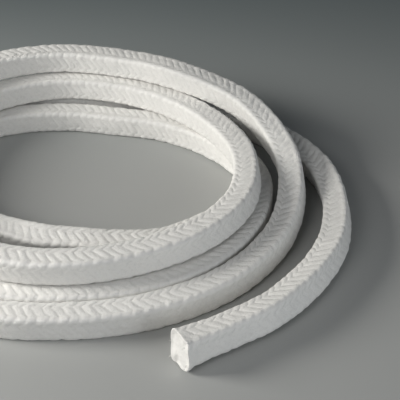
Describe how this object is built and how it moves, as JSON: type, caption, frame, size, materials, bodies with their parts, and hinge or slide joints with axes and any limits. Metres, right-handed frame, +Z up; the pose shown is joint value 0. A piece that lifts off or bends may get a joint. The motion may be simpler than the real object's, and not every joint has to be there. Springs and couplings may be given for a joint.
{
  "type": "braided gland packing coil",
  "caption": "Loose coil of white square braided gland packing with one free cut end, from which sealing rings are cut.",
  "frame": {"origin": "bottom centre of the bounding box, on the surface that the coil lies on", "axes": "+Z up, through the turns of the coil; the free cut end lies in front, towards -Y"},
  "size_m": [0.2374, 0.2074, 0.0381],
  "materials": {
    "packing": "braided yarn, matt with a faint waxy sheen"
  },
  "bodies": {
    "root": {"packing_strand": "packing"}
  },
  "joints": []
}
